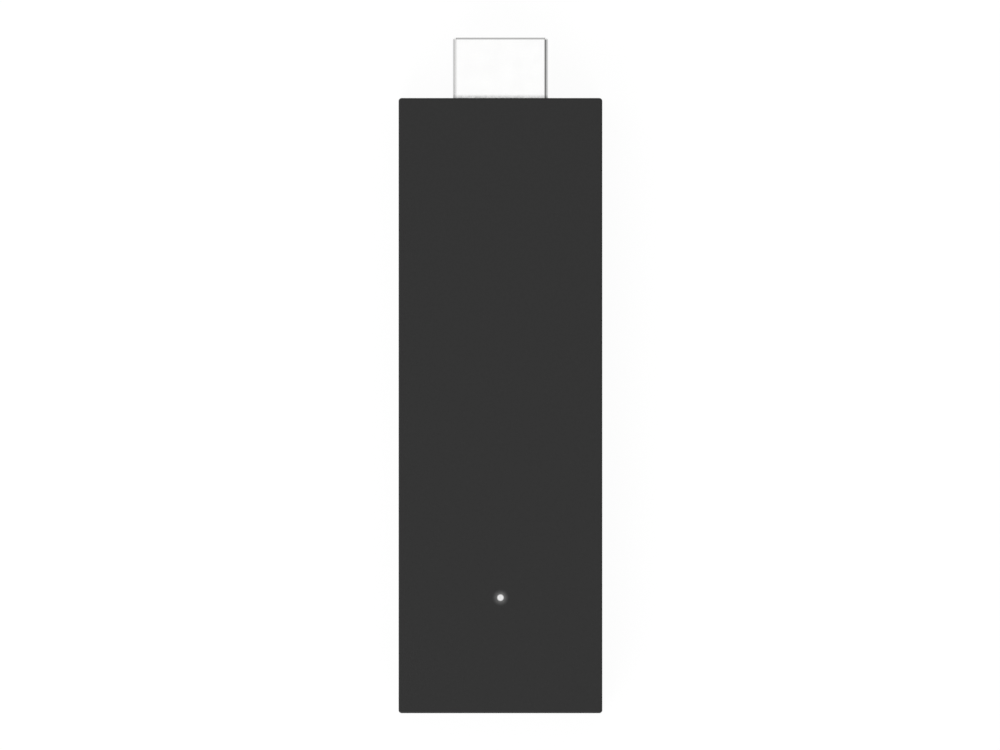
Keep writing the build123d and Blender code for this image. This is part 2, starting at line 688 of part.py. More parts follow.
def power_socket_shell():
    """Drawn steel sleeve with four legs that pass through the board."""
    sleeve = prism_y(socket_outline(0), SOCKET_MOUTH_Y, SOCKET_REAR_Y)
    sleeve -= prism_y(socket_outline(-SOCKET_SHEET), SOCKET_MOUTH_Y - 1, SOCKET_REAR_Y + 1)
    for side in (-1, 1):
        leg_xs = (side * (SOCKET_LEG_X - SOCKET_SHEET / 2), side * (SOCKET_LEG_X + SOCKET_SHEET / 2))
        wing_xs = (side * (SOCKET_WIDTH / 2 - SOCKET_SHEET), leg_xs[1])
        for y in SOCKET_LEG_YS:
            wing_ys = (y - SOCKET_WING_LENGTH / 2, y + SOCKET_WING_LENGTH / 2)
            leg_ys = (y - SOCKET_LEG_LENGTH / 2, y + SOCKET_LEG_LENGTH / 2)
            sleeve += brick(wing_xs, wing_ys, (BOARD_TOP, BOARD_TOP + SOCKET_SHEET))
            sleeve += brick(leg_xs, leg_ys, (BOARD_BOTTOM - LEG_PROTRUSION, BOARD_TOP + 0.1))
    return sleeve


def power_socket_tongue():
    """Moulded base that closes the sleeve, with the tongue standing in its middle."""
    base = prism_y(socket_outline(-SOCKET_SHEET - 0.02), SOCKET_BASE_Y, SOCKET_REAR_Y)
    outline = Pos(0, BOARD_MID) * cut_rectangle(TONGUE_WIDTH, TONGUE_THICKNESS, TONGUE_CORNER_CUT)
    base += prism_y(outline, SOCKET_BASE_Y - TONGUE_LENGTH, SOCKET_BASE_Y + ROOT)
    slit = Rectangle(SOCKET_SLIT_WIDTH, SOCKET_CONTACT_THICKNESS + 0.04)
    for side in (-1, 1):
        base -= prism_y(Pos(0, socket_run_level(side)) * slit, SOCKET_BASE_Y - 0.1, SOCKET_REAR_Y + 1)
    return base


def socket_run_level(side):
    """Height of the contacts that lie on one face of the tongue."""
    return BOARD_MID + side * (TONGUE_THICKNESS / 2 + SOCKET_CONTACT_THICKNESS / 2 + 0.01)


def socket_contact(x, side):
    """Flat strip on the tongue that ends in a tail soldered to the board."""
    tail = BOARD_MID + side * (BOARD_THICKNESS + SOCKET_CONTACT_THICKNESS) / 2
    points = [
        (SOCKET_BASE_Y - TONGUE_LENGTH + SOCKET_CONTACT_BACK, socket_run_level(side)),
        (SOCKET_REAR_Y, socket_run_level(side)),
        (SOCKET_REAR_Y + SOCKET_CONTACT_BEND, tail),
        (SOCKET_REAR_Y + SOCKET_CONTACT_BEND + SOCKET_CONTACT_TAIL, tail),
    ]
    strip = trace(Polyline(*points), SOCKET_CONTACT_THICKNESS)
    return prism_x(strip, x - SOCKET_CONTACT_WIDTH / 2, x + SOCKET_CONTACT_WIDTH / 2)


def power_socket_contacts():
    """Twelve strips on each side of the tongue."""
    xs = spaced(SOCKET_CONTACT_COUNT, SOCKET_CONTACT_PITCH)
    return group([socket_contact(x, side) for side in (-1, 1) for x in xs])


# Circuit board and what is soldered to it


def main_board():
    """Board with a notch for the plug, one for the socket, and its screw and leg holes."""
    tail_y, nose_y = TAIL_Y + SIDE_WALL + BOARD_END_PLAY, NOSE_Y - SIDE_WALL - BOARD_END_PLAY
    plug_notch, socket_notch = PLUG_X + NOTCH_PLAY, SOCKET_WIDTH / 2 + NOTCH_PLAY
    right = [
        (socket_notch, SOCKET_REAR_Y + NOTCH_PLAY),
        (socket_notch, tail_y),
        (BOARD_X, tail_y),
        (BOARD_X, nose_y),
        (plug_notch, nose_y),
        (plug_notch, BOARD_NOSE_Y),
    ]
    left = [(-x, y) for x, y in reversed(right)]
    face = make_face(Polyline(*right, *left, close=True))
    face = chamfer([v for v in face.vertices() if abs(v.X) > BOARD_X - 0.01], BOARD_CORNER_CUT)
    leg_slot = Rectangle(LEG_SLOT_WIDTH, LEG_SLOT_LENGTH)
    for side in (-1, 1):
        face -= Pos(side * PEG_X, PEG_Y) * leg_slot
        for y in SOCKET_LEG_YS:
            face -= Pos(side * SOCKET_LEG_X, y) * leg_slot
        face -= Pos(side * SCREW_X, SCREW_Y) * Circle(BOARD_HOLE_RADIUS)
    return prism_z(face, BOARD_BOTTOM, BOARD_TOP)


def on_board(place, size):
    """Plain block that stands on the board."""
    return Pos(*place, BOARD_TOP + size[2] / 2) * Box(*size)


def chip(place, size, bevel=CHIP_BEVEL):
    """Moulded package on the board, with a bevelled top."""
    return chamfer(on_board(place, size).edges().group_by(Axis.Z)[-1], bevel)


def processor():
    """Square carrier with a smaller moulded lid on it."""
    carrier = chip((0, PROCESSOR_Y), (CARRIER_SIDE, CARRIER_SIDE, CARRIER_HEIGHT), 0.1)
    return carrier + chip((0, PROCESSOR_Y), (PROCESSOR_LID_SIDE, PROCESSOR_LID_SIDE, PROCESSOR_HEIGHT))


def memory_chips():
    """Two working-memory packages beside the processor."""
    return group([chip((x, MEMORY_Y), MEMORY_SIZE) for x in (-MEMORY_X, MEMORY_X)])


def flash_chip():
    """Storage package behind the processor."""
    return to_rear(chip((0, FLASH_Y), FLASH_SIZE))


def power_chip():
    """Power manager beside the coils."""
    return chip(POWER_CHIP_PLACE, POWER_CHIP_SIZE)


def wireless_module():
    """Radio module: a small board with its own pressed lid."""
    carrier = on_board((0, RADIO_Y), (RADIO_SIDE, RADIO_SIDE, CARRIER_HEIGHT))
    lid = on_board((0, RADIO_Y), (RADIO_LID_SIDE, RADIO_LID_SIDE, CARRIER_HEIGHT + RADIO_LID_HEIGHT))
    lid = chamfer(lid.edges().filter_by(Axis.Z), RADIO_LID_CORNER_CUT)
    lid = chamfer(lid.edges().group_by(Axis.Z)[-1], CHIP_BEVEL)
    return to_rear(carrier + lid)


def shield_fence(width, length):
    """Soldered wall round the chips, with a narrow flange along its top."""
    sheet = 2 * SHIELD_SHEET
    outer = Rectangle(width, length)
    inner = Rectangle(width - sheet, length - sheet)
    window = Rectangle(width - 2 * SHIELD_FLANGE, length - 2 * SHIELD_FLANGE)
    top = BOARD_TOP + SHIELD_FENCE_HEIGHT
    fence = prism_z(Pos(0, SHIELD_MID_Y) * (outer - inner), BOARD_TOP, top)
    return fence + prism_z(Pos(0, SHIELD_MID_Y) * (outer - window), top - SHIELD_SHEET, top)


def shield_lid(width, length):
    """Pressed lid that clips over the fence, with a row of slots along each side."""
    outer = cut_rectangle(width + 2 * LID_GROWTH, length + 2 * LID_GROWTH, LID_CORNER_CUT)
    inner = Rectangle(width + 2 * LID_PLAY, length + 2 * LID_PLAY)
    lid = prism_z(Pos(0, SHIELD_MID_Y) * outer, BOARD_TOP + LID_SKIRT_GAP, LID_TOP)
    lid = chamfer(lid.edges().group_by(Axis.Z)[-1], LID_BEVEL)
    lid -= prism_z(Pos(0, SHIELD_MID_Y) * inner, BOARD_TOP, BOARD_TOP + LID_UNDERSIDE)
    slot_x = width / 2 - LID_SLOT_INSET
    slot_ys = spaced(int(length / LID_SLOT_PITCH) - 1, LID_SLOT_PITCH, SHIELD_MID_Y)
    places = [(side * slot_x, y) for side in (-1, 1) for y in slot_ys]
    slots = Sketch() + [Pos(x, y) * Rectangle(LID_SLOT_WIDTH, LID_SLOT_LENGTH) for x, y in places]
    return lid - prism_z(slots, BOARD_TOP, LID_TOP + 1)


def front_shield_fence():
    """Fence round the processor and the memory."""
    return shield_fence(SHIELD_WIDTH, SHIELD_LENGTH)


def front_shield_lid():
    """Lid over the processor and the memory."""
    return shield_lid(SHIELD_WIDTH, SHIELD_LENGTH)


def rear_shield_fence():
    """Fence round the storage."""
    return to_rear(shield_fence(REAR_SHIELD_WIDTH, REAR_SHIELD_LENGTH))


def rear_shield_lid():
    """Lid over the storage."""
    return to_rear(shield_lid(REAR_SHIELD_WIDTH, REAR_SHIELD_LENGTH))


# Cooling


def pad(y, width, length, z_low, z_high):
    """Cut square of soft thermal filler."""
    return prism_z(Pos(0, y) * Rectangle(width, length), z_low, z_high)


def processor_pad():
    """Filler between the processor and the shield's lid."""
    zs = (BOARD_TOP + PROCESSOR_HEIGHT, BOARD_TOP + LID_UNDERSIDE)
    return pad(PROCESSOR_Y, PROCESSOR_PAD_SIDE, PROCESSOR_PAD_SIDE, *zs)


def heat_sink_pad():
    """Filler between the shield's lid and the heat sink."""
    return pad(HEAT_SINK_PAD_Y, *HEAT_SINK_PAD_SIZE, LID_TOP, HEAT_SINK_BOTTOM)


def rear_pad():
    """Filler between the rear lid and the spreader."""
    return pad(FLASH_Y, *REAR_PAD_SIZE, SPREADER_BOTTOM + SPREADER_THICKNESS, REAR_LID_BOTTOM)


def heat_sink():
    """Extruded plate with low fins towards the front wall, and its corners cut."""
    base_top = HEAT_SINK_BOTTOM + HEAT_SINK_BASE
    section = Pos(0, base_top - HEAT_SINK_BASE / 2) * Rectangle(HEAT_SINK_WIDTH, HEAT_SINK_BASE)
    fin = Rectangle(FIN_THICKNESS, FIN_HEIGHT + ROOT)
    section += [Pos(x, base_top + (FIN_HEIGHT - ROOT) / 2) * fin for x in spaced(FIN_COUNT, FIN_PITCH)]
    low_y = SHIELD_MID_Y - HEAT_SINK_LENGTH / 2
    plate = prism_y(section, low_y, low_y + HEAT_SINK_LENGTH)
    outline = Pos(0, SHIELD_MID_Y) * cut_rectangle(HEAT_SINK_WIDTH, HEAT_SINK_LENGTH, HEAT_SINK_CORNER_CUT)
    return plate & prism_z(outline, HEAT_SINK_BOTTOM - 1, FRONT_INNER_Z)


def rear_heat_spreader():
    """Flat plate over the vents in the back."""
    outline = Pos(0, SPREADER_MID_Y) * cut_rectangle(SPREADER_WIDTH, SPREADER_LENGTH, SPREADER_CORNER_CUT)
    return prism_z(outline, SPREADER_BOTTOM, SPREADER_BOTTOM + SPREADER_THICKNESS)


# Small parts on the board


def power_inductors():
    """Three moulded coils beside the power manager."""
    coils = []
    for place in INDUCTOR_PLACES:
        coil = on_board(place, INDUCTOR_SIZE)
        coil = chamfer(coil.edges().filter_by(Axis.Z), INDUCTOR_CORNER_CUT)
        coils.append(chamfer(coil.edges().group_by(Axis.Z)[-1], INDUCTOR_BEVEL))
    return group(coils)


def row_across(size, row, lengthwise=False):
    """Small parts in a row across the board, each lying across it or lengthwise."""
    length, width, height = size
    lying = (width, length, height) if lengthwise else size
    count, pitch, y = row
    return [on_board((x, y), lying) for x in spaced(count, pitch)]


def row_along(size, row, x):
    """Small parts in a row along the board, at one x."""
    return [on_board((x, y), size) for y in spaced(*row)]


def ceramic_capacitors():
    """Rows of capacitors by the plug, the power manager, the coils and the radio."""
    front = row_across(CAPACITOR_SIZE, PLUG_CAPACITORS, lengthwise=True)
    front += row_along(CAPACITOR_SIZE, POWER_CAPACITORS, POWER_CAPACITOR_X)
    front += [on_board((x, COIL_CAPACITOR_Y), CAPACITOR_SIZE) for x in COIL_CAPACITOR_XS]
    rear = row_across(CAPACITOR_SIZE, REAR_PLUG_CAPACITORS) + row_across(CAPACITOR_SIZE, RADIO_CAPACITORS)
    return group(front + [to_rear(part) for part in rear])


def chip_resistors():
    """Rows of resistors by the socket, the power manager and the plug's pins."""
    front = row_across(RESISTOR_SIZE, SOCKET_RESISTORS, lengthwise=True)
    front += row_along(RESISTOR_SIZE, POWER_RESISTORS, POWER_RESISTOR_X)
    rear = row_across(RESISTOR_SIZE, REAR_PLUG_RESISTORS, lengthwise=True)
    return group(front + [to_rear(part) for part in rear])


def surge_arrays():
    """Four slim packages that guard the video lines."""
    return group([chip((x, SURGE_Y), SURGE_SIZE, SURGE_BEVEL) for x in spaced(SURGE_COUNT, SURGE_PITCH)])


def crystals():
    """Two canned crystals, for the processor and the radio."""
    front = on_board(FRONT_CRYSTAL_PLACE, FRONT_CRYSTAL_SIZE)
    rear = on_board(REAR_CRYSTAL_PLACE, REAR_CRYSTAL_SIZE)
    front, rear = [chamfer(can.edges().filter_by(Axis.Z), CRYSTAL_CORNER_CUT) for can in (front, rear)]
    return group([front, to_rear(rear)])


def board_screws():
    """Two flat-topped screws with a cross recess and a tapered point."""
    screw = revolve(Plane.XZ * screw_profile(), Axis.Z)
    recess_z = BOARD_TOP + SCREW_HEAD_HEIGHT - RECESS_DEPTH / 2
    for turn in (0, 90):
        screw -= Pos(0, 0, recess_z) * Rot(0, 0, turn) * Box(RECESS_WIDTH, RECESS_SPAN, RECESS_DEPTH + 0.2)
    return group([Pos(x, SCREW_Y) * screw for x in (-SCREW_X, SCREW_X)])


def screw_profile():
    """Half section of a screw: head, shank and point."""
    crown_z, end = BOARD_TOP + SCREW_HEAD_HEIGHT, BOARD_TOP - SCREW_LENGTH
    outline = Polyline(
        (0, crown_z),
        (0, end),
        (SCREW_RADIUS, end + SCREW_POINT),
        (SCREW_RADIUS, BOARD_TOP),
        (SCREW_HEAD_RADIUS, BOARD_TOP),
        (SCREW_HEAD_RADIUS, crown_z),
        close=True,
    )
    return make_face(outline)


def aerial(side):
    """Stamped aerial: a bent plate on two legs along the board's edge."""
    top, outer = BOARD_TOP + AERIAL_HEIGHT, side * AERIAL_X
    wall_xs = (outer, outer - side * AERIAL_SHEET)
    ys = (AERIAL_LOW_Y, AERIAL_HIGH_Y)
    made = brick(wall_xs, ys, (BOARD_TOP + AERIAL_CLEARANCE, top))
    for leg_y in (AERIAL_HIGH_Y, AERIAL_HIGH_Y - AERIAL_LEG_PITCH):
        made += brick(wall_xs, (leg_y - AERIAL_LEG, leg_y), (BOARD_TOP, top))
    return made + brick((outer, outer - side * AERIAL_ROOF), ys, (top - AERIAL_SHEET, top))


def left_aerial():
    """Aerial at the left edge."""
    return aerial(-1)


def right_aerial():
    """Aerial at the right edge."""
    return aerial(1)


# Status light


def status_led():
    """White chip light: a small base with a resin block on it."""
    return chip((0, LIGHT_Y), LED_SIZE, 0.1) + on_board((0, LIGHT_Y), LED_BASE_SIZE)


def light_pipe():
    """Turned clear pipe: a thin tip in the front face, a shoulder behind it and a push-in flange."""
    flange_top = FRONT_INNER_Z - LIGHT_PLAY
    flange_low = flange_top - LIGHT_FLANGE_THICKNESS
    shoulder = BODY_THICKNESS - LIGHT_SHOULDER_DROP
    profile = Polyline(
        (0, PIPE_BOTTOM),
        (LIGHT_SHOULDER_RADIUS, PIPE_BOTTOM),
        (LIGHT_SHOULDER_RADIUS, flange_low),
        (LIGHT_FLANGE_RADIUS, flange_low),
        (LIGHT_FLANGE_RADIUS, flange_top),
        (LIGHT_SHOULDER_RADIUS, flange_top),
        (LIGHT_SHOULDER_RADIUS, shoulder),
        (LIGHT_TIP_RADIUS, shoulder),
        (LIGHT_TIP_RADIUS, BODY_THICKNESS),
        (0, BODY_THICKNESS),
        close=True,
    )
    return Pos(0, LIGHT_Y) * revolve(Plane.XZ * make_face(profile), Axis.Z)


def light_shroud():
    """Dark foam square with a round hole that keeps the light inside the pipe."""
    side = 2 * (LIGHT_SHOULDER_RADIUS + SHROUD_WALL)
    foam = Rectangle(side, side) - Circle(LIGHT_SHOULDER_RADIUS + SHROUD_PLAY)
    return prism_z(Pos(0, LIGHT_Y) * foam, BOARD_TOP, FRONT_INNER_Z - COLLAR_HEIGHT - SHROUD_PLAY)


# Pairing button and its switch

BUTTON_PLACE = Pos(BUTTON_Y, BUTTON_Z)


def pairing_button():
    """Cap that slides in the side wall, with a flange inside and a nub that meets the plunger."""
    cap = prism_x(BUTTON_PLACE * SlotOverall(BUTTON_LENGTH, BUTTON_HEIGHT), BUTTON_FLANGE_X, CAP_FACE_X)
    cap = chamfer(cap.faces().sort_by(Axis.X)[-1].edges(), BUTTON_EDGE_BEVEL)
    flange = SlotOverall(BUTTON_LENGTH + 2 * FLANGE_GROWTH, BUTTON_HEIGHT + 2 * FLANGE_GROWTH)
    cap += prism_x(BUTTON_PLACE * flange, BUTTON_FLANGE_X, BUTTON_FLANGE_X + FLANGE_THICKNESS)
    return cap + prism_x(BUTTON_PLACE * Circle(NUB_RADIUS), PLUNGER_TIP_X, BUTTON_FLANGE_X + 0.1)


def switch_plunger():
    """Stub that the button pushes, with a wider foot inside the switch."""
    stub = prism_x(BUTTON_PLACE * Rectangle(*PLUNGER_SIZE), PLUNGER_FOOT_X - 0.1, PLUNGER_TIP_X)
    foot = BUTTON_PLACE * Rectangle(*PLUNGER_FOOT_SIZE)
    return stub + prism_x(foot, PLUNGER_FOOT_X - FOOT_THICKNESS, PLUNGER_FOOT_X)


def switch_base():
    """Moulded box on the board's edge with a cavity for the dome and the plunger's foot."""
    xs = (SWITCH_FACE_X - SWITCH_DEPTH, SWITCH_FACE_X)
    ys = (BUTTON_Y - SWITCH_LENGTH / 2, BUTTON_Y + SWITCH_LENGTH / 2)
    base = brick(xs, ys, (BOARD_TOP, BOARD_TOP + SWITCH_HEIGHT))
    base = chamfer(base.edges().filter_by(Axis.X), SWITCH_CORNER_CUT)
    base -= prism_x(BUTTON_PLACE * Rectangle(*SWITCH_CAVITY_SIZE), CAVITY_X, SWITCH_FACE_X - SWITCH_LIP)
    return base - prism_x(BUTTON_PLACE * Rectangle(*SWITCH_WINDOW_SIZE), CAVITY_X, SWITCH_FACE_X + 1)


def switch_dome():
    """Thin sprung strip, arched with its crown towards the plunger."""
    rim_x = CAVITY_X + 0.04
    crown_x = PLUNGER_FOOT_X - FOOT_THICKNESS - DOME_GAP - DOME_SHEET / 2
    low, high = BUTTON_Y - DOME_HALF_SPAN, BUTTON_Y + DOME_HALF_SPAN
    arch = ThreePointArc((rim_x, low), (crown_x, BUTTON_Y), (rim_x, high))
    return prism_z(trace(arch, DOME_SHEET), BUTTON_Z - DOME_WIDTH / 2, BUTTON_Z + DOME_WIDTH / 2)


def switch_bracket():
    """Bent steel strap over the switch with two feet on the board."""
    xs = [SWITCH_FACE_X - back for back in BRACKET_SPAN]
    inner = SWITCH_LENGTH / 2 + BRACKET_GAP
    outer = inner + BRACKET_SHEET
    roof = BOARD_TOP + SWITCH_HEIGHT + BRACKET_GAP
    strap = brick(xs, (BUTTON_Y - outer, BUTTON_Y + outer), (roof, roof + BRACKET_SHEET))
    for side in (-1, 1):
        strap += brick(xs, (BUTTON_Y + side * inner, BUTTON_Y + side * outer), (BOARD_TOP, roof + 0.1))
        foot_ys = (BUTTON_Y + side * inner, BUTTON_Y + side * (outer + BRACKET_FOOT))
        strap += brick(xs, foot_ys, (BOARD_TOP, BOARD_TOP + BRACKET_SHEET))
    return strap


SUB_PARTS = (
    front_cover,
    rear_cover,
    video_plug_shell,
    video_plug_insulator,
    video_plug_front_contacts,
    video_plug_rear_contacts,
    power_socket_shell,
    power_socket_tongue,
    power_socket_contacts,
    main_board,
    processor,
    memory_chips,
    flash_chip,
    power_chip,
    wireless_module,
    front_shield_fence,
    front_shield_lid,
    rear_shield_fence,
    rear_shield_lid,
    processor_pad,
    heat_sink_pad,
    rear_pad,
    heat_sink,
    rear_heat_spreader,
    power_inductors,
    ceramic_capacitors,
    chip_resistors,
    surge_arrays,
    crystals,
    board_screws,
    left_aerial,
    right_aerial,
    status_led,
    light_pipe,
    light_shroud,
    pairing_button,
    switch_plunger,
    switch_base,
    switch_dome,
    switch_bracket,
)

os.makedirs("parts", exist_ok=True)
for make in SUB_PARTS:
    export_step(make(), f"parts/{make.__name__}.step")
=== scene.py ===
import json

import bpy
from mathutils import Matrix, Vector


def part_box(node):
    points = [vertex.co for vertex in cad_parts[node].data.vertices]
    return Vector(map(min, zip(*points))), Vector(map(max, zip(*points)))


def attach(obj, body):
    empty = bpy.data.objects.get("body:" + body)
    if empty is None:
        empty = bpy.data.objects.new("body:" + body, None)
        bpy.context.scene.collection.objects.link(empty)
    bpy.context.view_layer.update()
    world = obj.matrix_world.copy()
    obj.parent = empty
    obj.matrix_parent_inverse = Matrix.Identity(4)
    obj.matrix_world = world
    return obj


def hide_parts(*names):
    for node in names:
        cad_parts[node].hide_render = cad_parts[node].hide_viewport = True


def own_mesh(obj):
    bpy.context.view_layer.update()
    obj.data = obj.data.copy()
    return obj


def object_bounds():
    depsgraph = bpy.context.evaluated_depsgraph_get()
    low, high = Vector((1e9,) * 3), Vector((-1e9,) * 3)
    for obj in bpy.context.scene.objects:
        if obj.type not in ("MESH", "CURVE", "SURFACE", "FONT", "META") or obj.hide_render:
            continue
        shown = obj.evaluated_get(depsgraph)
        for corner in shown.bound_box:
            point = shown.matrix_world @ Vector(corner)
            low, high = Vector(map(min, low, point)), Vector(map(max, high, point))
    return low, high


# The look of the streaming stick: one material for each kind of surface, a soft studio and the camera that
# looks straight down at the front face. Metres.

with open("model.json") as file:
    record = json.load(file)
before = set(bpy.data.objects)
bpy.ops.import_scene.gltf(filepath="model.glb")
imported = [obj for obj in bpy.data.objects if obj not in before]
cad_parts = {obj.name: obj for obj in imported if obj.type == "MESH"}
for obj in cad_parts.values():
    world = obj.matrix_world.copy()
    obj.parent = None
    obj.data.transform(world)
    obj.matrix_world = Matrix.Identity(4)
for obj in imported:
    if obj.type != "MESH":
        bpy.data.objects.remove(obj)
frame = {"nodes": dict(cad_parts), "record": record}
cad_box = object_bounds()
MM = 0.001

# Span in which most of a noise texture's values lie
NOISE_SPAN = (0.3, 0.7)

# Camera: its height over the front face, how far it stands off the frame's origin in plan, and the width of
# the front face's plane that fills the picture
CAMERA_DISTANCE = 3.0
CAMERA_OFFSET = (-0.066 * MM, 0.027 * MM)
PICTURE_WIDTH = 146.3 * MM
SENSOR_WIDTH = 36.0

# Case: the plastic's grey and roughness, how far and over what sizes they vary, its gloss and its grain
CASE_GREY = 0.0257
CASE_GREY_SPREAD = 0.0005
CASE_GREY_PATCH = 0.5 * MM
CASE_ROUGHNESS = 0.55
BUTTON_ROUGHNESS = 0.42
CASE_ROUGHNESS_SPREAD = 0.04
CASE_ROUGHNESS_PATCH = 0.4 * MM
CASE_SPECULAR = 0.2
GRAIN_SIZE = 0.28 * MM
GRAIN_HEIGHT = 0.012 * MM
FINE_GRAIN_SIZE = 0.11 * MM
FINE_GRAIN_HEIGHT = 0.008 * MM

# Status light: the light pipe's bright core, its tip with a fainter rim, the halo in the plastic round it,
# and how uneven core and halo are, as factors and over what size
LIGHT_CORE_RADIUS = 0.36 * MM
LIGHT_TIP_RADIUS = 0.48 * MM
LIGHT_HALO_RADIUS = 1.35 * MM
LIGHT_CORE_LEVEL = 0.66
LIGHT_RIM_LEVEL = 0.3
LIGHT_HALO_LEVEL = 0.115
CORE_UNEVENNESS = (0.92, 1.04)
CORE_PATCH = 0.3 * MM
HALO_UNEVENNESS = (0.8, 1.2)
HALO_PATCH = 0.35 * MM

# Rolled metal: its lines, with their width as a share of their length, and its smudges
LINE_WIDTH = 0.12 * MM
LINE_SHARE = 0.04
LINE_HEIGHT = 0.0006 * MM
SMUDGE_SIZE = 2 * MM
SMUDGE_LEVEL = 0.98

# Video plug: half its width, and how far painted shade darkens its plating down its sides and unevenly at
# its foot
PLUG_SIDE_X = 6.95 * MM
PLUG_SIDE_SHADE_FADE = 0.22 * MM
PLUG_SIDE_SHADE_LEVEL = 0.42
PLUG_FOOT_SHADE_REACH = 0.6 * MM
PLUG_FOOT_SHADE_LEVEL = 0.55
PLUG_FOOT_SHADE_UNEVENNESS = (0.6, 1.4)
PLUG_FOOT_SHADE_PATCH = 0.45 * MM

# Moulded pieces: how far and over what sizes colour and roughness vary, and the grain
MOULDED_COLOUR_PATCH = 1.2 * MM
MOULDED_ROUGHNESS_SPREAD = (-0.05, 0.07)
MOULDED_ROUGHNESS_PATCH = 0.8 * MM
MOULDED_GRAIN_SIZE = 0.15 * MM
MOULDED_GRAIN_HEIGHT = 0.006 * MM

# Board: tracks in patches, lengthwise where a patch's random level is low and crosswise where it is high,
# and tinned holes
TRACK_PITCH = 0.5 * MM
TRACK_SHARE = 0.45
TRACK_HEIGHT = 0.02 * MM
TRACK_PATCH = 4.5 * MM
LENGTHWISE_UNDER = 0.45
CROSSWISE_OVER = 0.55
HOLE_SPACING = 2.4 * MM
HOLE_RADIUS = 0.17 * MM

# Floor: its size, how far it lies under the stick, what it gives back as light, what is seen of it, and the
# length under which a ray passes through it
FLOOR_SIZE = 12.0
FLOOR_GAP = 0.02 * MM
FLOOR_WHITE = 0.85
FLOOR_GLOW = 0.94
FLOOR_TINT = 0.09
CONTACT_RAY = 0.3 * MM

# Surroundings: brightness by the height of a direction, from the horizon to straight up
SURROUNDINGS = (
    (0.0, 1.0),
    (0.04, 1.0),
    (0.12, 0.42),
    (0.3, 0.54),
    (0.64, 0.83),
    (0.94, 0.9),
    (0.985, 1.06),
    (1.0, 1.12),
)

# Dark screen on the right: where its left edge and its foot fade in, and what it leaves of the light
SCREEN_EDGE = (0.15, 0.62)
SCREEN_FOOT = (0.05, 0.35)
SCREEN_LEVEL = 0.27

# Lamps
LAMP_SIZE = 1.2
KEY_PLACE = (-0.9, -1.8, 1.8)
KEY_POWER = 15.0
FILL_PLACE = (0.9, -1.8, 1.8)
FILL_POWER = 9.5


# Node helpers


def grey(level):
    return (level, level, level)


def feed(tree, value, entry):
    """Links a socket to an input, or sets a plain value on it."""
    if isinstance(value, bpy.types.NodeSocket):
        tree.links.new(value, entry)
    else:
        entry.default_value = value


def arithmetic(tree, operation, *values):
    """Result of an operation on one or two values, each a socket or a plain number."""
    node = tree.nodes.new("ShaderNodeMath")
    node.operation = operation
    for value, entry in zip(values, node.inputs):
        feed(tree, value, entry)
    return node.outputs["Value"]


def map_range(tree, value, source, target, kind="LINEAR"):
    """Value brought from the source span into the target span, each a (from, to) pair."""
    node = tree.nodes.new("ShaderNodeMapRange")
    node.interpolation_type = kind
    names = ("Value", "From Min", "From Max", "To Min", "To Max")
    for name, given in zip(names, (value, *source, *target)):
        feed(tree, given, node.inputs[name])
    return node.outputs["Result"]


